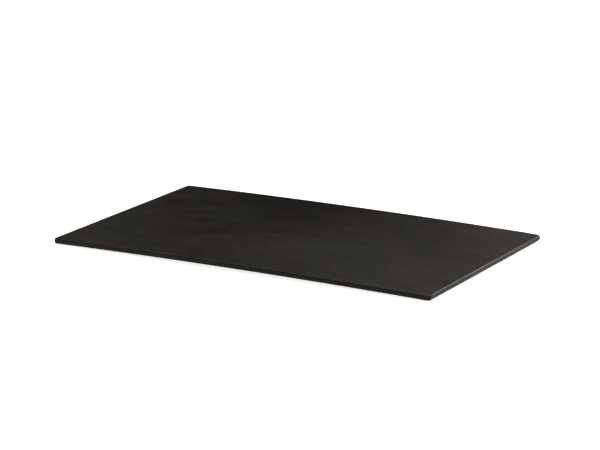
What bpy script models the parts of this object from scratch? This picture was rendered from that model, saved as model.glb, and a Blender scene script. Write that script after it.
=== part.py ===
"""Basalt slab with four anti-slip pads. Metres, +Z up.

The slab is a thin rectangular stone plate, longest along X, with eased edges. It is slightly crowned
along its length: its middle stands higher than its two short ends. A round self-adhesive pad under
each corner carries it. The origin is on the surface that the pads stand on, under the slab's middle,
and +Y points to the back.
"""

import math

import bmesh
import bpy
from mathutils import Matrix, Vector

MM = 0.001

# Driving dimensions
SLAB_LENGTH = 600 * MM
SLAB_WIDTH = 400 * MM
SLAB_THICKNESS = 8.5 * MM
CROWN = 3 * MM  # rise of the slab's middle over its short ends
CORNER_RADIUS = 4 * MM  # seen from above
CORNER_SEGMENTS = 6
ARRIS_RADIUS = 2 * MM  # eased edges between the two faces and the four sides
ARRIS_SEGMENTS = 4
CROWN_STRIPS = 25  # flat strips along the crown, an odd number so that the middle one is level
PAD_DIAMETER = 20 * MM
PAD_THICKNESS = 1.5 * MM  # at the pad's centre
PAD_RIM_RADIUS = 0.4 * MM  # rounding of the pad's lower rim
PAD_RIM_SEGMENTS = 2
PAD_SEGMENTS = 32
PAD_INSET = 36 * MM  # from the slab's sides to a pad's centre
SEAT_GAP = 0.3 * MM  # between a pad and the stone above it

# Worked-out values
STRIP_LENGTH = SLAB_LENGTH / CROWN_STRIPS
PAD_X = SLAB_LENGTH / 2 - PAD_INSET
PAD_Y = SLAB_WIDTH / 2 - PAD_INSET

# Where each pad sits: its side along X and its side along Y
PAD_SIDES = {
    "pad_front_left": (-1, -1),
    "pad_front_right": (1, -1),
    "pad_back_left": (-1, 1),
    "pad_back_right": (1, 1),
}

# Colour, roughness and metallic value of each finish
HONED_BASALT = ((0.020, 0.019, 0.016, 1.0), 0.45, 0.0)
CHARCOAL_RUBBER = ((0.030, 0.030, 0.031, 1.0), 0.85, 0.0)


def crown_curve(x):
    """Rise of the crown at x over the slab's short ends."""
    return CROWN * (1 - (2 * x / SLAB_LENGTH) ** 2)


def crown_rise(x):
    """Rise at x on the crown's flat strips, which run between points on its curve."""
    strip = math.floor((x + SLAB_LENGTH / 2) / STRIP_LENGTH)
    strip = min(max(strip, 0), CROWN_STRIPS - 1)
    start = strip * STRIP_LENGTH - SLAB_LENGTH / 2
    share = (x - start) / STRIP_LENGTH
    return (1 - share) * crown_curve(start) + share * crown_curve(start + STRIP_LENGTH)


# Height of the slab's underside at its short ends, so that a pad of the stated thickness fits under it
UNDERSIDE_END = PAD_THICKNESS + SEAT_GAP - crown_rise(PAD_X)


def clear_scene():
    for old in list(bpy.data.objects):
        bpy.data.objects.remove(old)


def new_collection(name):
    collection = bpy.data.collections.new(name)
    bpy.context.scene.collection.children.link(collection)
    return collection


def new_material(name, finish):
    colour, roughness, metallic = finish
    material = bpy.data.materials.new(name)
    material.use_nodes = True
    shader = material.node_tree.nodes["Principled BSDF"]
    shader.inputs["Base Color"].default_value = colour
    shader.inputs["Roughness"].default_value = roughness
    shader.inputs["Metallic"].default_value = metallic
    material.diffuse_color = colour
    return material


def new_part(name, bm, material, collection):
    """Make an object of a finished bmesh, which is freed."""
    mesh = bpy.data.meshes.new(name)
    bm.to_mesh(mesh)
    bm.free()
    mesh.materials.append(material)
    part = bpy.data.objects.new(name, mesh)
    collection.objects.link(part)
    return part


def cut_strips(bm):
    """Cut the block across its length where two strips of the crown meet."""
    for line in range(1, CROWN_STRIPS):
        x = line * STRIP_LENGTH - SLAB_LENGTH / 2
        everything = bm.verts[:] + bm.edges[:] + bm.faces[:]
        bmesh.ops.bisect_plane(bm, geom=everything, plane_co=(x, 0, 0), plane_no=(1, 0, 0))


def build_slab(collection):
    bm = bmesh.new()
    size = Matrix.Diagonal((SLAB_LENGTH, SLAB_WIDTH, SLAB_THICKNESS, 1))
    bmesh.ops.create_cube(bm, size=1, matrix=size)
    upright = [edge for edge in bm.edges if edge.verts[0].co.xy == edge.verts[1].co.xy]
    bmesh.ops.bevel(
        bm,
        geom=upright,
        offset=CORNER_RADIUS,
        segments=CORNER_SEGMENTS,
        profile=0.5,
        affect="EDGES",
    )
    cut_strips(bm)
    for vert in bm.verts:
        vert.co.z += UNDERSIDE_END + SLAB_THICKNESS / 2 + crown_rise(vert.co.x)
    slab = new_part("slab", bm, new_material("honed_basalt", HONED_BASALT), collection)
    arris = slab.modifiers.new("eased_arrises", "BEVEL")
    arris.width = ARRIS_RADIUS
    arris.segments = ARRIS_SEGMENTS
    arris.limit_method = "ANGLE"
    arris.angle_limit = math.radians(60)
    return slab


def build_pad(name, sides, material, collection):
    """A flat-bottomed disc whose top lies along the stone above it. Its origin is on the floor."""
    centre = Vector((sides[0] * PAD_X, sides[1] * PAD_Y, 0))
    bm = bmesh.new()
    bmesh.ops.create_cone(
        bm,
        cap_ends=True,
        segments=PAD_SEGMENTS,
        radius1=PAD_DIAMETER / 2,
        radius2=PAD_DIAMETER / 2,
        depth=PAD_THICKNESS,
        matrix=Matrix.Translation((0, 0, PAD_THICKNESS / 2)),
    )
    for vert in bm.verts:
        if vert.co.z > PAD_THICKNESS / 2:
            vert.co.z = UNDERSIDE_END + crown_rise(centre.x + vert.co.x) - SEAT_GAP
    lower_rim = [e for e in bm.edges if max(v.co.z for v in e.verts) < PAD_THICKNESS / 4]
    bmesh.ops.bevel(
        bm,
        geom=lower_rim,
        offset=PAD_RIM_RADIUS,
        segments=PAD_RIM_SEGMENTS,
        profile=0.5,
        affect="EDGES",
    )
    pad = new_part(name, bm, material, collection)
    pad.location = centre
    pad.data.shade_smooth()
    pad.data.set_sharp_from_angle(angle=math.radians(40))
    return pad


def build():
    clear_scene()
    collection = new_collection("basalt_slab")
    stand = bpy.data.objects.new("stand_point", None)
    collection.objects.link(stand)
    parts = [build_slab(collection)]
    rubber = new_material("charcoal_rubber", CHARCOAL_RUBBER)
    for name, sides in PAD_SIDES.items():
        parts.append(build_pad(name, sides, rubber, collection))
    for part in parts:
        part.parent = stand


build()
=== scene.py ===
"""Looks of the basalt slab and its four pads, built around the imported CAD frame. Metres, +Z up."""

import math

import bmesh
import bpy
from mathutils import Matrix, Vector


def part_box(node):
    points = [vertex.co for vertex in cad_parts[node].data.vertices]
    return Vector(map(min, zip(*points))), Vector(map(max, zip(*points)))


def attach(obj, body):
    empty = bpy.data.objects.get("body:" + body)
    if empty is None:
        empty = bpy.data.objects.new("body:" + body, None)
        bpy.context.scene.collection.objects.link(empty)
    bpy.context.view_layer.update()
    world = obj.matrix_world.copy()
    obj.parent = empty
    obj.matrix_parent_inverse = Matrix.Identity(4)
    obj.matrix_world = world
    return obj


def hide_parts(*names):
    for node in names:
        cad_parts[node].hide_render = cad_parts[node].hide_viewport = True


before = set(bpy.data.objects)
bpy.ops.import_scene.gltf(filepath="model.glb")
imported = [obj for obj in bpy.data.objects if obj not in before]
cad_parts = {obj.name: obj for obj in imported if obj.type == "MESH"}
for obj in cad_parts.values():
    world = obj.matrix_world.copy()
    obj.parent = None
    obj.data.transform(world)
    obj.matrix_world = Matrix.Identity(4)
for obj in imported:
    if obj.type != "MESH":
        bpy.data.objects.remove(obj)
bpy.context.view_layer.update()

MM = 0.001
TINY = 1e-9  # keeps a divisor from being zero
SHARP_ANGLE = math.radians(35)  # between faces: edges past it are shaded sharp

# Stone sizes that the frame's boxes do not state
CROWN = 3 * MM  # rise of the slab's middle over its short ends
ARRIS_RADIUS = 2 * MM
CORNER_RADII = {  # seen from above, ground by hand
    "Front Left": 4 * MM,
    "Front Right": 6 * MM,
    "Back Left": 5 * MM,
    "Back Right": 6 * MM,
}
ROUNDER_ARRIS = 2.2 * MM  # added to the arris radius at the back right corner
ROUNDER_REACH = 45 * MM  # how far from that corner it ends
SAFE_INSET = 0.02 * MM  # keeps the fine surface inside the CAD's flat strips
MIDDLE_SHARE = 0.05  # of the half length: just past both ends of the CAD slab's level middle strip

# Mesh of the stone: cells along each axis. The outer cells of its faces make a level ring, as wide as the
# corner radius is more than the arris radius, and then half of the rounded edge.
CELLS = (224, 150, 11)
RING_CELLS = 3
ARC_CELLS = 4
OUTER_CELLS = RING_CELLS + ARC_CELLS

# Uneven surface of the stone, all of it inwards: how deep it is, and the noise that shapes it, with scale
# features to a metre. Wear and chips come in smoothly between two values of their noise.
WAVE_DEPTH = 0.10 * MM
WAVE_NOISE = dict(scale=9.0, detail=1.0)
RIPPLE_DEPTH = 0.03 * MM
RIPPLE_NOISE = dict(scale=48.0, detail=2.0)
ARRIS_WEAR = 0.35 * MM
WEAR_NOISE = dict(scale=55.0, detail=3.0)
WEAR_RANGE = (0.35, 0.75)
CHIP_DEPTH = 0.7 * MM
CHIP_NOISE = dict(scale=170.0, detail=2.0, roughness=0.6)
CHIP_RANGE = (0.66, 0.76)

# Vesicles: the tiny gas pits of basalt
PIT_DENSITY = 900  # to a square metre
PIT_SPACING = 6 * MM
PIT_RADII = (0.25 * MM, 0.75 * MM)
PIT_SKEW = 3  # power of the random share between those radii, which makes most pits small
PIT_FLATNESS = 0.7  # height of the ball that cuts a pit, as a share of its width
PIT_SUBDIVISIONS = 2  # of the ball
PIT_SEED = 7

# Pads: a moulded rubber disc with ring-shaped grooves in its contact face
PADS = ("pad_front_left", "pad_front_right", "pad_back_left", "pad_back_right")
TURN_SEGMENTS = 96
ARC_STEPS = 5
PAD_RIM = 0.4 * MM  # rounding of the lower rim
PAD_TOP_EDGE = 0.12 * MM
DIMPLE_RADIUS = 1.1 * MM  # left by the mould in the middle of the contact face
DIMPLE_DEPTH = 0.25 * MM
GROOVE_RADII = (2.9 * MM, 4.7 * MM, 6.5 * MM, 8.3 * MM)
GROOVE_HALF = 0.38 * MM
GROOVE_FLANK = 0.12 * MM
GROOVE_DEPTH = 0.35 * MM

# Adhesive films between the pads and the stone
FILM_RADIUS = 9.4 * MM
FILM_BULGE = 0.12 * MM
FILM_UNEVEN = 0.012  # share of its radius
FILM_WAVES = ((3, 1.0, 1), (8, 0.6, 2))  # round its rim: how many, how strong, how far a film turns them

# The honed face: layers of noise that add to its brightness of 1. Each has a weight, and may be drawn out
# and turned.
TONE_LAYERS = {
    "clouds": dict(weight=0.75, scale=11.0, detail=4.0, roughness=0.6, distortion=0.5),
    "patches": dict(weight=1.8, scale=46.0, detail=4.0, roughness=0.65, stretch=(0.6, 1, 1)),
    "streaks": dict(weight=0.7, scale=60.0, detail=3.0, roughness=0.6, stretch=(0.12, 1, 1), turn=0.12),
    "spots": dict(weight=1.3, scale=115.0, detail=3.0, roughness=0.6),
    "grain": dict(weight=0.8, scale=850.0, detail=2.0, roughness=0.6),
}
LEAST_TONE = 0.25

# Painted shade on that face, darkest towards its back left and a little brighter far from there: the shift
# that brings its middle to zero, its shape, the distances from its middle between which it fades, the
# brightness at each, and the layer that bends its edge
PAINTED_SHADE_SHIFT = (0.10, -0.17, 0)
PAINTED_SHADE_STRETCH = (1.15, 1, 1)
PAINTED_SHADE_FADE = (0.02, 0.3)
PAINTED_SHADE_TONES = (0.4, 1.12)
PAINTED_SHADE_DRIFT = dict(weight=0.12, scale=6.0, detail=2.0)

# Colours of the stone: its two tints and the noise between them, its marks, one of them partly a painted
# highlight on the upper arrises, and its reflections
REDDISH_STONE = (0.0200, 0.0146, 0.0108, 1)
GREENISH_STONE = (0.0150, 0.0152, 0.0116, 1)
PALE_CRYSTAL = (0.046, 0.043, 0.034, 1)
WORN_AND_HIGHLIT_STONE = (0.052, 0.049, 0.041, 1)
SAWN_STONE = (0.034, 0.033, 0.030, 1)
GLOSS_TINT = (1.0, 0.955, 0.87, 1)
TINT_NOISE = dict(scale=17.0, detail=2.0, roughness=0.5, distortion=0.4)
TINT_RANGE = (0.35, 0.65)

# How much each of these darkens the stone or, for the last five, covers it with a paler colour. The
# darkening of the pits, sides and lower arrises is painted shade, that of the side lines is a saw mark, and
# the upper arris cover is partly wear and partly a painted highlight
PIT_SHADE = 0.6
SIDE_SHADE = 0.75
SIDE_LINE_SHADE = 0.2
LOWER_ARRIS_SHADE = 0.8
FLECK_COVER = 0.55
UPPER_ARRIS_WEAR_AND_HIGHLIGHT = 0.3
CHIP_COVER = 0.6
UNDER_COVER = 0.25
UNDER_ARC_COVER = 0.5

# Between which values each kind of surface comes in. Arrises and the underside go by how much the stone
# faces up or down there, from 0 to 1, and the sides go by 1 less that.
ARRIS_RANGE = (0.05, 0.6)
SIDE_RANGE = (0.3, 0.9)
UNDER_RANGE = (0.6, 0.95)

# Small pale crystals: cells to a metre, the edge and core of a crystal as shares of a cell, and the noise
# that leaves most of the cells empty
FLECK_CELLS = 420.0
FLECK_SIZE = (0.34, 0.14)
FLECK_NOISE = dict(scale=240.0, detail=1.0)
FLECK_RANGE = (0.52, 0.68)

# Saw marks: the side lines' features to a metre along X, Y and Z, the shift that brings the blade's
# centre to zero, and the arcs' features to a metre across them
SIDE_LINE_SCALES = (8.0, 8.0, 900.0)
SIDE_LINE_NOISE = dict(scale=1.0, detail=3.0, roughness=0.6)
BLADE_SHIFT = (0.9, 0.35, 0)
UNDER_ARC_SCALE = 260.0
UNDER_ARC_NOISE = dict(scale=1.0, detail=4.0, roughness=0.7)

# Wipe marks left by hands and cloths
WIPE_TURN = 0.5
WIPE_STRETCH = (0.35, 1, 1)
WIPE_NOISE = dict(scale=22.0, detail=3.0, roughness=0.6)

# Roughness of the honed face and what is added to it, and what makes up the fine relief
STONE_ROUGHNESS = 0.34
STONE_ROUGHER = {
    "wiped": 0.14,
    "chipped": 0.25,
    "pit": 0.3,
    "sides": 0.12,
    "side_lines": 0.15,
    "under": 0.15,
    "flecks": -0.06,
    "upper_arris": -0.08,
    "lower_arris": 0.5,
}
STONE_RELIEF = {"fine": 0.35, "coarse": 0.3, "side_lines": 0.8, "under_arcs": 0.8}
FINE_NOISE = dict(scale=1400.0, detail=2.0, roughness=0.6)
COARSE_NOISE = dict(scale=300.0, detail=3.0, roughness=0.6)
STONE_BUMP = dict(strength=0.45, distance=0.06 * MM)

# Rubber of the pads
DARK_RUBBER = (0.022, 0.022, 0.023, 1)
BLOOMED_RUBBER = (0.040, 0.040, 0.041, 1)
BLOOM_NOISE = dict(scale=260.0, detail=4.0, roughness=0.6)
BLOOM_RANGE = (0.35, 0.75)
DUST = (0.13, 0.125, 0.115, 1)
DUST_NOISE = dict(scale=900.0, detail=3.0, roughness=0.7)
DUST_RANGE = (0.4, 0.7)
DUST_COVER = 0.6
RUBBED_HEIGHT = 0.12 * MM  # above the table: what lies lower is rubbed and dusty
RUBBER_GRAIN = dict(scale=5200.0, detail=2.0, roughness=0.5)
RUBBER_BUMP = dict(strength=0.4, distance=0.02 * MM)
RUBBER_ROUGHNESS = 0.74
RUBBER_ROUGHER = {"bloom": 0.12, "rubbed": -0.14, "dust": 0.1}

# Adhesive
MILKY_FILM = (0.56, 0.54, 0.48, 1)
GRIMY_FILM = (0.27, 0.25, 0.21, 1)
GRIME_NOISE = dict(scale=420.0, detail=4.0, roughness=0.65)
GRIME_RANGE = (0.42, 0.78)
AIR_BUBBLE = (0.74, 0.73, 0.69, 1)
BUBBLE_CELLS = 1500.0  # to a metre
BUBBLE_SIZE = (0.3, 0.12)  # edge and core of a bubble, as shares of a cell
BUBBLE_COVER = 0.6
FILM_BUMP = dict(strength=0.35, distance=0.03 * MM)
FILM_ROUGHNESS = 0.32
GRIME_ROUGHNESS = 0.3  # added where the grime is

# Camera: its lens and sensor in millimetres, where it stands, in degrees and metres from the slab's middle
LENS = 170.1
SENSOR_WIDTH = 36
CLIP_END = 100
CAMERA_AZIMUTH = 26.70
CAMERA_ELEVATION = 13.95
CAMERA_ROLL = 1.32
CAMERA_DISTANCE = 4.16
CAMERA_RAISE = 0.0205  # how far the line of sight passes above the slab's middle

# World: brightness that the camera sees, and brightness that lights the stone
WORLD_SEEN = 1.0
WORLD_LIGHT = 0.01

# Floor: how far it reaches each way, and how it glows
FLOOR_REACH = 30
FLOOR_GLOW = 0.84
FLOOR_COLOUR = (0.86, 0.86, 0.85, 1)
GLOW_COLOUR = (1.0, 0.985, 0.95, 1)

# Lights. The overhead one: azimuth, elevation, spread in degrees, strength. Softboxes: place, the point
# that they face, size, power, colour.
WHITE = (1.0, 1.0, 1.0)
WARM_WHITE = (1.0, 0.95, 0.88)
OVERHEAD = (0, 85, 60, 1.6)
SOFTBOXES = {
    "back_softbox": ((0.1, 0.9, 1.3), (0.1, 0, 0), (1.0, 0.6), 8.5, WHITE),
    "corner_softbox": ((0.48, 0.36, 0.17), (0.22, 0.14, 0), (0.2, 0.15), 0.4, WHITE),
    "right_softbox": ((1.3, 0.4, 0.3), (0.3, 0, 0), (0.6, 0.4), 3.4, WARM_WHITE),
    "arris_light": ((0.85, 1.2, 0.45), (0.3, 0, 0), (0.3, 0.3), 3.0, WHITE),
    "left_softbox": ((-0.75, -0.2, 0.35), (-0.25, -0.1, 0), (0.5, 0.3), 0.6, WHITE),
    "far_left_softbox": ((-0.85, 0.72, 0.28), (-0.28, -0.18, 0), (0.25, 0.2), 0.02, WHITE),
    "far_corner_softbox": ((0.12, 0.56, 0.11), (0.28, 0.18, 0), (0.12, 0.08), 0.009, WARM_WHITE),
}


# ---------------------------------------------------------------- node graphs


class Wire:
    """An output in a node graph. Arithmetic on it adds Math nodes."""

    def __init__(self, graph, socket):
        self.graph = graph
        self.socket = socket

    def math(self, operation, *values):
        sockets = dict(enumerate(values))
        return self.graph.add("ShaderNodeMath", {"operation": operation}, sockets)

    def __add__(self, other):
        return self.math("ADD", self, other)

    def __radd__(self, other):
        return self.math("ADD", other, self)

    def __sub__(self, other):
        return self.math("SUBTRACT", self, other)

    def __rsub__(self, other):
        return self.math("SUBTRACT", other, self)

    def __mul__(self, other):
        return self.math("MULTIPLY", self, other)

    def __rmul__(self, other):
        return self.math("MULTIPLY", other, self)

    def __truediv__(self, other):
        return self.math("DIVIDE", self, other)

    def __rtruediv__(self, other):
        return self.math("DIVIDE", other, self)

    def __pow__(self, other):
        return self.math("POWER", self, other)

    def __rpow__(self, other):
        return self.math("POWER", other, self)

    def __neg__(self):
        return self.math("MULTIPLY", self, -1)

    def least(self, other):
        return self.math("MINIMUM", self, other)

    def most(self, other):
        return self.math("MAXIMUM", self, other)

    def size(self):
        return self.math("ABSOLUTE", self)

    def sign(self):
        return self.math("SIGN", self)

    def tangent(self):
        return self.math("TANGENT", self)

    def root(self):
        return self.math("SQRT", self)

    def ramp(self, start, end, low=0.0, high=1.0):
        """Runs from low to high, smoothly, as this value goes from start to end."""
        settings = {"interpolation_type": "SMOOTHSTEP"}
        sockets = {"Value": self, "From Min": start, "From Max": end, "To Min": low, "To Max": high}
        return self.graph.add("ShaderNodeMapRange", settings, sockets)


class Graph:
    """Adds nodes to a tree."""

    def __init__(self, tree):
        self.tree = tree

    def add(self, kind, settings=None, sockets=None, out=0):
        """A node of that kind. Its settings are set first, then its sockets, by index or identifier."""
        node = self.tree.nodes.new(kind)
        for name, value in (settings or {}).items():
            setattr(node, name, value)
        for key, value in (sockets or {}).items():
            socket = pick(node.inputs, key)
            if isinstance(value, Wire):
                self.tree.links.new(value.socket, socket)
            else:
                socket.default_value = value
        return Wire(self, pick(node.outputs, out))

    def mix(self, factor, first, second):
        """A colour between two: the first where the factor is 0, the second where it is 1."""
        sockets = {"Factor_Float": factor, "A_Color": first, "B_Color": second}
        return self.add("ShaderNodeMix", {"data_type": "RGBA"}, sockets, "Result_Color")

    def vector(self, operation, *values, out=0):
        sockets = dict(enumerate(values))
        return self.add("ShaderNodeVectorMath", {"operation": operation}, sockets, out)

    def scaled(self, vector, factor):
        sockets = {"Vector": vector, "Scale": factor}
        return self.add("ShaderNodeVectorMath", {"operation": "SCALE"}, sockets)

    def noise(self, place, scale, detail=2.0, roughness=0.5, distortion=0.0):
        """Smooth noise from 0 to 1, with scale features to a metre."""
        sockets = {
            "Vector": place,
            "Scale": scale,
            "Detail": detail,
            "Roughness": roughness,
            "Distortion": distortion,
        }
        return self.add("ShaderNodeTexNoise", sockets=sockets, out="Fac")

    def mapped(self, place, location=(0, 0, 0), rotation=(0, 0, 0), scale=(1, 1, 1)):
        sockets = {"Vector": place, "Location": location, "Rotation": rotation, "Scale": scale}
        return self.add("ShaderNodeMapping", sockets=sockets)

    def bump(self, height, strength, distance):
        """A normal from a fine relief, distance metres high where height is 1."""
        sockets = {"Height": height, "Strength": strength, "Distance": distance}
        return self.add("ShaderNodeBump", sockets=sockets)


def pick(sockets, key):
    """A socket by its index or identifier."""
    if isinstance(key, int):
        return sockets[key]
    return next(socket for socket in sockets if socket.identifier == key)


def combine(graph, x, y, z):
    return graph.add("ShaderNodeCombineXYZ", sockets={"X": x, "Y": y, "Z": z})


def separate(graph, vector):
    node = graph.tree.nodes.new("ShaderNodeSeparateXYZ")
    graph.tree.links.new(vector.socket, node.inputs[0])
    return [Wire(graph, output) for output in node.outputs]


# ---------------------------------------------------------------- the stone's shape


def geometry_graph(name, inputs):
    """A Geometry Nodes tree with these named inputs, as (graph, the inputs' wires, their identifiers)."""
    tree = bpy.data.node_groups.new(name, "GeometryNodeTree")
    tree.interface.new_socket("Geometry", in_out="OUTPUT", socket_type="NodeSocketGeometry")
    made = [
        tree.interface.new_socket(label, in_out="INPUT", socket_type=kind)
        for label, kind in inputs.items()
    ]
    graph = Graph(tree)
    source = tree.nodes.new("NodeGroupInput")
    wires = {item.name: Wire(graph, source.outputs[item.name]) for item in made}
    return graph, wires, {item.name: item.identifier for item in made}


def axis_value(along, cells, outer_cells):
    """(side, share passed of the flat part, share passed of the outer part) along an axis from -1 to 1."""
    flat = 1 - 2 * outer_cells / cells
    return along.sign(), (along.size() / flat).least(1), (along.size() - flat).most(0) / (1 - flat)


def corner_radius(given, x_share, y_share):
    """Radius of the plate's corners seen from above, which changes evenly from corner to corner."""
    front_left, front_right, back_left, back_right = (given[f"{corner} Radius"] for corner in CORNER_RADII)
    front = front_left + (front_right - front_left) * x_share
    back = back_left + (back_right - back_left) * x_share
    return front + (back - front) * y_share


def arris_radius(graph, given, x, y):
    """Radius of the rounded edges, which grows towards the back right corner."""
    to_corner = combine(graph, (1 - x) * given["Length"] / 2, (1 - y) * given["Width"] / 2, 0.0)
    distance = graph.vector("LENGTH", to_corner, out="Value")
    rounder = distance.ramp(0.0, given["Rounder Reach"], 1.0, 0.0) * given["Rounder Arris"]
    return given["Arris Radius"] + rounder


def block_wrap(graph, given, place):
    """Wraps a block from -1 to 1 onto a plate with round corners and round edges.

    Gives each point's place on the plate's core, which lies an edge radius inside the skin, the way out,
    that radius, the way out's height, and how far round an edge the point lies.
    """
    x, y, z = separate(graph, place)
    x_side, x_flat, x_outer = axis_value(x, CELLS[0], OUTER_CELLS)
    y_side, y_flat, y_outer = axis_value(y, CELLS[1], OUTER_CELLS)
    z_side, z_flat, z_outer = axis_value(z, CELLS[2], ARC_CELLS)

    corner = corner_radius(given, (x_side * x_flat + 1) / 2, (y_side * y_flat + 1) / 2)
    radius = arris_radius(graph, given, x, y)

    # Which way the outline faces, seen from above
    plan = graph.vector("NORMALIZE", combine(graph, x_side * x_outer, y_side * y_outer, 0.0))
    ring_end = RING_CELLS / OUTER_CELLS
    outer = x_outer.most(y_outer)
    ring = (outer / ring_end).least(1)
    eighth = math.pi / 4  # of a turn: half of a rounded edge
    across = ((outer - ring_end).most(0) / (1 - ring_end) * eighth).tangent()
    upward = (z_outer * eighth).tangent()
    tilt = (across * across + upward * upward).most(TINY).root()
    level, rise = across / tilt, upward / tilt * z_side

    core_x = x_side * x_flat * (given["Length"] / 2 - corner)
    core_y = y_side * y_flat * (given["Width"] / 2 - corner)
    core_z = z_side * z_flat * (given["Thickness"] / 2 - radius)
    core = combine(graph, core_x, core_y, core_z)
    core = graph.vector("ADD", core, graph.scaled(plan, ring * (corner - radius)))
    way_out = graph.vector("ADD", graph.scaled(plan, level), combine(graph, 0.0, 0.0, rise))
    return core, way_out, radius, rise, 2 * level * rise.size()


def store(graph, geometry, name, value):
    """Keeps a value at each point, for the materials to read."""
    sockets = {"Geometry": geometry, "Name": name, "Value": value}
    return graph.add("GeometryNodeStoreNamedAttribute", {"data_type": "FLOAT"}, sockets)


def rounded_plate(graph, given):
    """The slab without its pits. Each point keeps its arris, facing and chipped values."""
    # A block of cells, from -1 to 1 along each axis, wrapped onto a rounded plate
    counts = {f"Vertices {axis}": cells + 1 for axis, cells in zip("XYZ", CELLS)}
    block = graph.add("GeometryNodeMeshCube", sockets={"Size": (2, 2, 2), **counts}, out="Mesh")
    place = graph.add("GeometryNodeInputPosition")
    core, outward, radius, facing, round_share = block_wrap(graph, given, place)

    # How far each point lies inside the true rounded plate
    skin = graph.vector("ADD", core, graph.scaled(outward, radius))
    wave = graph.noise(skin, **WAVE_NOISE) * given["Wave Depth"]
    ripple = graph.noise(skin, **RIPPLE_NOISE) * given["Ripple Depth"]
    worn = graph.noise(skin, **WEAR_NOISE).ramp(*WEAR_RANGE) * round_share * given["Arris Wear"]
    chip = graph.noise(skin, **CHIP_NOISE).ramp(*CHIP_RANGE) * round_share * given["Chip Depth"]
    inside = wave + ripple + worn + chip
    surface = graph.vector("ADD", core, graph.scaled(outward, radius - inside))

    # The crown lifts the middle of the length
    x, y, z = separate(graph, surface)
    share = x * 2 / given["Length"]
    lift = given["Underside Height"] + given["Thickness"] / 2 + given["Crown"] * (1 - share * share)
    block = store(graph, block, "arris", round_share)
    block = store(graph, block, "facing", facing)
    block = store(graph, block, "chipped", chip / given["Chip Depth"])
    sockets = {"Geometry": block, "Position": combine(graph, x, y, z + lift)}
    return graph.add("GeometryNodeSetPosition", sockets=sockets)


def pitted(graph, given, plate):
    """The plate with vesicles cut out of its surface by small flat balls."""
    settings = {"distribute_method": "POISSON"}
    sockets = {
        "Mesh": plate,
        "Distance Min": given["Pit Spacing"],
        "Density Max": given["Pit Density"],
        "Seed": given["Seed"],
    }
    points = graph.add("GeometryNodeDistributePointsOnFaces", settings, sockets, "Points")
    sockets = {"Radius": 1.0, "Subdivisions": PIT_SUBDIVISIONS}
    ball = graph.add("GeometryNodeMeshIcoSphere", sockets=sockets, out="Mesh")
    settings = {"data_type": "FLOAT"}
    chance = graph.add("FunctionNodeRandomValue", settings, {"Seed": given["Seed"]}, "Value_001")
    spread = given["Largest Pit"] - given["Smallest Pit"]
    pit_radius = given["Smallest Pit"] + chance ** PIT_SKEW * spread
    size = combine(graph, pit_radius, pit_radius, pit_radius * PIT_FLATNESS)
    sockets = {"Points": points, "Instance": ball, "Scale": size}
    balls = graph.add("GeometryNodeInstanceOnPoints", sockets=sockets)
    balls = graph.add("GeometryNodeRealizeInstances", sockets={"Geometry": balls})
    balls = store(graph, balls, "pit", 1.0)
    settings = {"operation": "DIFFERENCE", "solver": "MANIFOLD"}
    return graph.add("GeometryNodeMeshBoolean", settings, {"Mesh 1": plate, "Mesh 2": balls}, "Mesh")


def smooth(graph, plate):
    """The plate shaded smooth, apart from its sharp edges."""
    plate = graph.add("GeometryNodeSetShadeSmooth", {"domain": "FACE"}, {"Geometry": plate})
    angle = graph.add("GeometryNodeInputMeshEdgeAngle")
    settings = {"data_type": "FLOAT", "operation": "GREATER_THAN"}
    sharp = graph.add("FunctionNodeCompare", settings, {"A": angle, "B": SHARP_ANGLE})
    sockets = {"Geometry": plate, "Selection": sharp, "Shade Smooth": False}
    return graph.add("GeometryNodeSetShadeSmooth", {"domain": "EDGE"}, sockets)


def stone_tree():
    """(Geometry Nodes tree of the slab, its inputs' identifiers by name)."""
    sizes = ("Length", "Width", "Thickness", "Crown", "Underside Height")
    radii = tuple(f"{corner} Radius" for corner in CORNER_RADII)
    radii += ("Arris Radius", "Rounder Arris", "Rounder Reach")
    depths = ("Wave Depth", "Ripple Depth", "Arris Wear", "Chip Depth")
    pits = ("Pit Density", "Pit Spacing", "Smallest Pit", "Largest Pit")
    inputs = {name: "NodeSocketFloat" for name in sizes + radii + depths + pits}
    inputs["Seed"] = "NodeSocketInt"
    inputs["Stone"] = "NodeSocketMaterial"
    graph, given, identifiers = geometry_graph("stone_shape", inputs)

    plate = rounded_plate(graph, given)
    plate = pitted(graph, given, plate)
    plate = smooth(graph, plate)
    plate = graph.add("GeometryNodeRealizeInstances", sockets={"Geometry": plate})
    sockets = {"Geometry": plate, "Material": given["Stone"]}
    plate = graph.add("GeometryNodeSetMaterial", sockets=sockets)
    end = graph.tree.nodes.new("NodeGroupOutput")
    graph.tree.links.new(plate.socket, end.inputs[0])
    return graph.tree, identifiers


def grown(name, tree, identifiers, values):
    """A plain mesh object from a Geometry Nodes tree with these inputs."""
    seed_object = bpy.data.objects.new(name + "_seed", bpy.data.meshes.new(name + "_seed"))
    bpy.context.scene.collection.objects.link(seed_object)
    modifier = seed_object.modifiers.new("shape", "NODES")
    modifier.node_group = tree
    for label, value in values.items():
        modifier[identifiers[label]] = value
    depsgraph = bpy.context.evaluated_depsgraph_get()
    mesh = bpy.data.meshes.new_from_object(seed_object.evaluated_get(depsgraph), depsgraph=depsgraph)
    bpy.data.objects.remove(seed_object)
    mesh.name = name
    # The block brings an empty material slot with it
    for index, material in reversed(list(enumerate(mesh.materials))):
        if material is None:
            mesh.materials.pop(index=index)
    piece = bpy.data.objects.new(name, mesh)
    bpy.context.scene.collection.objects.link(piece)
    return piece


def stone_heights():
    """(height of the slab's underside at its short ends, its thickness), from the CAD slab's middle."""
    half_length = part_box("slab")[1].x
    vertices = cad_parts["slab"].data.vertices
    middle = [v.co.z for v in vertices if abs(v.co.x) < MIDDLE_SHARE * half_length]
    return min(middle) - CROWN, max(middle) - min(middle)


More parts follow.
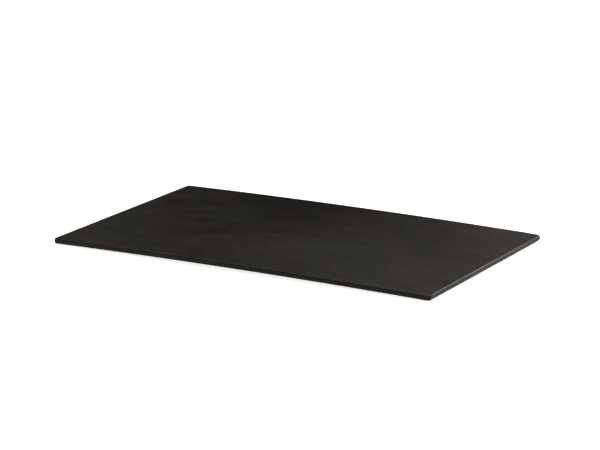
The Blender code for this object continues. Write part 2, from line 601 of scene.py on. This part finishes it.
def build_stone(material):
    """The stone plate, in the CAD slab's place."""
    low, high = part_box("slab")
    underside, thickness = stone_heights()
    tree, identifiers = stone_tree()
    values = {
        "Length": high.x - low.x,
        "Width": high.y - low.y,
        "Thickness": thickness - 2 * SAFE_INSET,
        "Crown": CROWN,
        "Underside Height": underside + SAFE_INSET,
        "Arris Radius": ARRIS_RADIUS,
        "Rounder Arris": ROUNDER_ARRIS,
        "Rounder Reach": ROUNDER_REACH,
        "Wave Depth": WAVE_DEPTH,
        "Ripple Depth": RIPPLE_DEPTH,
        "Arris Wear": ARRIS_WEAR,
        "Chip Depth": CHIP_DEPTH,
        "Pit Density": PIT_DENSITY,
        "Pit Spacing": PIT_SPACING,
        "Smallest Pit": PIT_RADII[0],
        "Largest Pit": PIT_RADII[1],
        "Seed": PIT_SEED,
        "Stone": material,
    }
    values.update({f"{corner} Radius": radius for corner, radius in CORNER_RADII.items()})
    stone = grown("basalt_plate", tree, identifiers, values)
    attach(stone, "root")
    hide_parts("slab")


# ---------------------------------------------------------------- pads and films


def turned(name, profile, place, material):
    """A closed piece turned from half an outline, (radius, height) pairs from axis to axis."""
    bm = bmesh.new()
    rings = []
    for radius, height in profile:
        count = TURN_SEGMENTS if radius > 0 else 1
        angles = [2 * math.pi * step / count for step in range(count)]
        rings.append([bm.verts.new(place(radius, angle, height)) for angle in angles])
    for lower, upper in zip(rings, rings[1:]):
        for step in range(TURN_SEGMENTS):
            after = (step + 1) % TURN_SEGMENTS
            corners = [ring[turn % len(ring)] for ring, turn in
                       ((lower, step), (lower, after), (upper, after), (upper, step))]
            bm.faces.new(list(dict.fromkeys(corners)))
    bmesh.ops.recalc_face_normals(bm, faces=bm.faces)
    mesh = bpy.data.meshes.new(name)
    bm.to_mesh(mesh)
    bm.free()
    mesh.materials.append(material)
    mesh.shade_smooth()
    mesh.set_sharp_from_angle(angle=SHARP_ANGLE)
    piece = bpy.data.objects.new(name, mesh)
    bpy.context.scene.collection.objects.link(piece)
    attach(piece, "root")
    return piece


def arc(centre_radius, centre_height, size, start, end):
    """Points on a part of a circle, from one angle to another in degrees."""
    points = []
    for step in range(ARC_STEPS + 1):
        angle = math.radians(start + (end - start) * step / ARC_STEPS)
        points.append((centre_radius + size * math.cos(angle), centre_height + size * math.sin(angle)))
    return points


def pad_profile(radius, height):
    """Half the pad's outline, from the middle of its contact face round to the middle of its top."""
    points = [(0, DIMPLE_DEPTH)]
    points += [(DIMPLE_RADIUS - GROOVE_FLANK, DIMPLE_DEPTH), (DIMPLE_RADIUS, 0)]
    for middle in GROOVE_RADII:
        points.append((middle - GROOVE_HALF, 0))
        points.append((middle - GROOVE_HALF + GROOVE_FLANK, GROOVE_DEPTH))
        points.append((middle + GROOVE_HALF - GROOVE_FLANK, GROOVE_DEPTH))
        points.append((middle + GROOVE_HALF, 0))
    points += arc(radius - PAD_RIM, PAD_RIM, PAD_RIM, 270, 360)
    points += arc(radius - PAD_TOP_EDGE, height - PAD_TOP_EDGE, PAD_TOP_EDGE, 0, 90)
    return points + [(0, height)]


def pad_top(node):
    """(middle of the CAD pad, radius, height of its top's middle, slope of its top along X)."""
    low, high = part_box(node)
    top = [v.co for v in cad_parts[node].data.vertices if v.co.z > (low.z + high.z) / 2]
    first = min(top, key=lambda co: co.x)
    last = max(top, key=lambda co: co.x)
    slope = (last.z - first.z) / (last.x - first.x)
    return (low + high) / 2, (high.x - low.x) / 2, (first.z + last.z) / 2, slope


def build_pad(node, material):
    """A pad whose top leans with the stone above it, and whose contact face is level."""
    middle, radius, height, slope = pad_top(node)

    def place(r, angle, z):
        x = r * math.cos(angle)
        return middle.x + x, middle.y + r * math.sin(angle), z * (1 + slope * x / height)

    pad = turned("rubber_" + node, pad_profile(radius, height), place, material)
    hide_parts(node)


def build_film(node, turn, material):
    """The adhesive between a pad and the stone, with a slightly uneven outline."""
    middle, _, height, slope = pad_top(node)
    underside, _ = stone_heights()
    share = middle.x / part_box("slab")[1].x
    gap = underside + CROWN * (1 - share * share) - height
    flat = FILM_RADIUS - FILM_BULGE

    def place(r, angle, z):
        waves = [strength * math.sin(count * angle + shift * turn) for count, strength, shift in FILM_WAVES]
        r *= 1 + FILM_UNEVEN * sum(waves)
        x = r * math.cos(angle)
        return middle.x + x, middle.y + r * math.sin(angle), height + slope * x + z

    profile = [(0, 0), (flat, 0), (FILM_RADIUS, gap / 2), (flat, gap), (0, gap)]
    turned("adhesive_" + node, profile, place, material)


# ---------------------------------------------------------------- materials


def new_shader(name, **constants):
    """(material, its graph, its Principled node) with these constant socket values."""
    material = bpy.data.materials.new(name)
    material.use_nodes = True
    shader = material.node_tree.nodes["Principled BSDF"]
    for label, value in constants.items():
        shader.inputs[label.replace("_", " ")].default_value = value
    return material, Graph(material.node_tree), shader


def plug(graph, shader, **wires):
    """Links these wires to the shader's sockets of those names."""
    for label, wire in wires.items():
        graph.tree.links.new(wire.socket, shader.inputs[label.replace("_", " ")])


def attribute(graph, name):
    """A value that the piece's mesh keeps."""
    return graph.add("ShaderNodeAttribute", {"attribute_name": name}, out="Fac")


def object_place(graph):
    """Each point's place in metres, which is the frame's because pieces sit at the origin."""
    return graph.add("ShaderNodeTexCoord", out="Object")


def layer(graph, place, weight, stretch=(1, 1, 1), turn=0.0, **noise):
    """Noise between minus and plus half its weight, which may be drawn out and turned."""
    drawn_out = graph.mapped(place, rotation=(0, 0, turn), scale=stretch)
    return (graph.noise(drawn_out, **noise) - 0.5) * weight


def dots(graph, place, cells, edge, core):
    """Small round dots, one to a cell. Each is 1 out to its core and fades to 0 at its edge."""
    sockets = {"Vector": place, "Scale": cells}
    return graph.add("ShaderNodeTexVoronoi", sockets=sockets, out="Distance").ramp(edge, core)


def weighed(masks, weights):
    """The masks that have a weight, each times its weight, added up."""
    return sum(masks[name] * weight for name, weight in weights.items())


def basalt_tone_and_painted_shade(graph, place):
    """Brightness of the honed face, about 1: painted shade that darkens it towards the back left, clouds,
    faint streaks and fine crystals.
    """
    painted_shade_place = graph.mapped(place, location=PAINTED_SHADE_SHIFT, scale=PAINTED_SHADE_STRETCH)
    distance = graph.vector("LENGTH", painted_shade_place, out="Value") + layer(graph, place, **PAINTED_SHADE_DRIFT)
    tone = 1 + sum(layer(graph, place, **settings) for settings in TONE_LAYERS.values())
    return tone.most(LEAST_TONE) * distance.ramp(*PAINTED_SHADE_FADE, *PAINTED_SHADE_TONES)


def side_lines(graph, place):
    """Fine saw lines along the sides."""
    return graph.noise(graph.mapped(place, scale=SIDE_LINE_SCALES), **SIDE_LINE_NOISE)


def under_arcs(graph, place):
    """Arcs of a round blade across the underside."""
    distance = graph.vector("LENGTH", graph.mapped(place, location=BLADE_SHIFT), out="Value")
    return graph.noise(combine(graph, distance * UNDER_ARC_SCALE, 0.0, 0.0), **UNDER_ARC_NOISE)


def stone_masks(graph, place):
    """Where on the stone each kind of surface or mark is, from 0 to 1."""
    facing = attribute(graph, "facing")
    arris = attribute(graph, "arris")
    sides = (1 - facing.size()).ramp(*SIDE_RANGE)
    under = (-facing).ramp(*UNDER_RANGE)
    crystals = graph.noise(place, **FLECK_NOISE).ramp(*FLECK_RANGE)
    wiped = graph.mapped(place, rotation=(0, 0, WIPE_TURN), scale=WIPE_STRETCH)
    return {
        "upper_arris": arris * facing.ramp(*ARRIS_RANGE),
        "lower_arris": arris * (-facing).ramp(*ARRIS_RANGE),
        "chipped": attribute(graph, "chipped"),
        "pit": attribute(graph, "pit"),
        "sides": sides,
        "side_lines": sides * side_lines(graph, place),
        "under": under,
        "under_arcs": under * under_arcs(graph, place),
        "flecks": dots(graph, place, FLECK_CELLS, *FLECK_SIZE) * crystals,
        "wiped": graph.noise(wiped, **WIPE_NOISE),
        "fine": graph.noise(place, **FINE_NOISE),
        "coarse": graph.noise(place, **COARSE_NOISE),
    }


def basalt_colour(graph, place, masks):
    """Colour of the stone: its tints, shaded by its tone and by painted shade, and then its paler marks."""
    tint = graph.noise(place, **TINT_NOISE).ramp(*TINT_RANGE)
    # Painted shade darkens the pits, the sides all over and the lower arrises; the saw lines darken the
    # sides a little more, as saw marks.
    side_shade_and_saw_lines = masks["sides"] * (SIDE_SHADE + masks["side_lines"] * SIDE_LINE_SHADE)
    tone = basalt_tone_and_painted_shade(graph, place) * (1 - masks["pit"] * PIT_SHADE)
    tone = tone * (1 - side_shade_and_saw_lines) * (1 - masks["lower_arris"] * LOWER_ARRIS_SHADE)
    colour = graph.scaled(graph.mix(tint, REDDISH_STONE, GREENISH_STONE), tone)
    colour = graph.mix(masks["flecks"] * FLECK_COVER, colour, PALE_CRYSTAL)
    # Paler chips are wear; the paler upper arrises are partly wear and partly a painted highlight.
    worn = weighed(masks, {"upper_arris": UPPER_ARRIS_WEAR_AND_HIGHLIGHT, "chipped": CHIP_COVER})
    colour = graph.mix(worn.least(1), colour, WORN_AND_HIGHLIT_STONE)
    sawn_under = masks["under"] * (UNDER_COVER + masks["under_arcs"] * UNDER_ARC_COVER)
    return graph.mix(sawn_under, colour, SAWN_STONE)


def basalt_material():
    """Dark honed stone, clouded, with saw-cut sides and underside and paler upper arrises, partly worn and
    partly a painted highlight; painted shade darkens its top towards the back left, its sides, lower
    arrises and pits.
    """
    constants = {"Specular_IOR_Level": 0.22, "Specular_Tint": GLOSS_TINT}
    material, graph, shader = new_shader("dark_basalt", **constants)
    place = object_place(graph)
    masks = stone_masks(graph, place)
    colour = basalt_colour(graph, place, masks)
    rough = STONE_ROUGHNESS + weighed(masks, STONE_ROUGHER)
    relief = graph.bump(weighed(masks, STONE_RELIEF), **STONE_BUMP)
    plug(graph, shader, Base_Color=colour, Roughness=rough, Normal=relief)
    return material


def rubber_material():
    """Charcoal rubber with a greyish bloom, a fine moulded grain, and dust on what touches the table."""
    material, graph, shader = new_shader("charcoal_rubber", Specular_IOR_Level=0.35)
    place = object_place(graph)
    rubbed = separate(graph, place)[2].ramp(RUBBED_HEIGHT, 0.0)
    masks = {
        "bloom": graph.noise(place, **BLOOM_NOISE).ramp(*BLOOM_RANGE),
        "rubbed": rubbed,
        "dust": rubbed * graph.noise(place, **DUST_NOISE).ramp(*DUST_RANGE),
    }
    colour = graph.mix(masks["bloom"], DARK_RUBBER, BLOOMED_RUBBER)
    colour = graph.mix(masks["dust"] * DUST_COVER, colour, DUST)
    rough = RUBBER_ROUGHNESS + weighed(masks, RUBBER_ROUGHER)
    relief = graph.bump(graph.noise(place, **RUBBER_GRAIN), **RUBBER_BUMP)
    plug(graph, shader, Base_Color=colour, Roughness=rough, Normal=relief)
    return material


def adhesive_material():
    """Milky adhesive with small air bubbles and a little grime."""
    material, graph, shader = new_shader("milky_adhesive", Specular_IOR_Level=0.4)
    place = object_place(graph)
    grime = graph.noise(place, **GRIME_NOISE).ramp(*GRIME_RANGE)
    bubbles = dots(graph, place, BUBBLE_CELLS, *BUBBLE_SIZE)
    colour = graph.mix(grime, MILKY_FILM, GRIMY_FILM)
    colour = graph.mix(bubbles * BUBBLE_COVER, colour, AIR_BUBBLE)
    rough = FILM_ROUGHNESS + grime * GRIME_ROUGHNESS
    plug(graph, shader, Base_Color=colour, Roughness=rough, Normal=graph.bump(bubbles, **FILM_BUMP))
    return material


def floor_material():
    """White board that also glows a little, as a light table does, so that the shadow on it is pale."""
    constants = {
        "Base_Color": FLOOR_COLOUR,
        "Roughness": 0.9,
        "Specular_IOR_Level": 0.2,
        "Emission_Color": GLOW_COLOUR,
        "Emission_Strength": FLOOR_GLOW,
    }
    return new_shader("pale_floor", **constants)[0]


# ---------------------------------------------------------------- stage


def add_floor():
    mesh = bpy.data.meshes.new("floor")
    corners = [(x * FLOOR_REACH, y * FLOOR_REACH, 0) for x, y in ((-1, -1), (1, -1), (1, 1), (-1, 1))]
    mesh.from_pydata(corners, [], [(0, 1, 2, 3)])
    floor = bpy.data.objects.new("floor", mesh)
    bpy.context.scene.collection.objects.link(floor)
    mesh.materials.append(floor_material())


def add_camera(target):
    """The camera, whose line of sight passes just above the target."""
    data = bpy.data.cameras.new("camera")
    data.lens = LENS
    data.sensor_width = SENSOR_WIDTH
    data.clip_end = CLIP_END
    camera = bpy.data.objects.new("camera", data)
    bpy.context.scene.collection.objects.link(camera)
    turn = (
        Matrix.Rotation(math.radians(CAMERA_AZIMUTH), 4, "Z")
        @ Matrix.Rotation(math.radians(90 - CAMERA_ELEVATION), 4, "X")
        @ Matrix.Rotation(math.radians(CAMERA_ROLL), 4, "Z")
    )
    back = turn @ Vector((0, 0, 1))
    up = turn @ Vector((0, 1, 0))
    place = target + back * CAMERA_DISTANCE + up * CAMERA_RAISE
    camera.matrix_world = Matrix.Translation(place) @ turn
    bpy.context.scene.camera = camera


def add_area(name, place, target, size, power, colour):
    data = bpy.data.lights.new(name, "AREA")
    data.shape = "RECTANGLE"
    data.size, data.size_y = size
    data.energy = power
    data.color = colour
    light = bpy.data.objects.new(name, data)
    bpy.context.scene.collection.objects.link(light)
    light.location = place
    light.rotation_euler = (Vector(target) - Vector(place)).to_track_quat("-Z", "Y").to_euler()
    light.visible_camera = False


def add_sun(name, azimuth, elevation, spread, strength):
    data = bpy.data.lights.new(name, "SUN")
    data.energy = strength
    data.angle = math.radians(spread)
    light = bpy.data.objects.new(name, data)
    bpy.context.scene.collection.objects.link(light)
    light.rotation_euler = (math.radians(90 - elevation), 0, math.radians(azimuth))


def add_world(seen, lighting):
    """A white surround that the camera sees brighter than it lights the stone."""
    world = bpy.data.worlds.new("world")
    bpy.context.scene.world = world
    world.use_nodes = True
    graph = Graph(world.node_tree)
    background = world.node_tree.nodes["Background"]
    camera_ray = graph.add("ShaderNodeLightPath", out="Is Camera Ray")
    strength = lighting + camera_ray * (seen - lighting)
    graph.tree.links.new(strength.socket, background.inputs["Strength"])
    background.inputs["Color"].default_value = (1, 1, 1, 1)


def light_stage():
    """A wide, high light above the stone, and softboxes that shade its face and edges."""
    add_world(WORLD_SEEN, WORLD_LIGHT)
    add_sun("overhead", *OVERHEAD)
    for name, (place, target, size, power, colour) in SOFTBOXES.items():
        add_area(name, place, target, size, power, colour)


build_stone(basalt_material())
rubber = rubber_material()
adhesive = adhesive_material()
for number, pad_node in enumerate(PADS):
    build_pad(pad_node, rubber)
    build_film(pad_node, number, adhesive)
add_floor()
end_underside, slab_thickness = stone_heights()
add_camera(Vector((0, 0, end_underside + slab_thickness / 2)))
light_stage()
bpy.context.scene.view_settings.view_transform = "Standard"
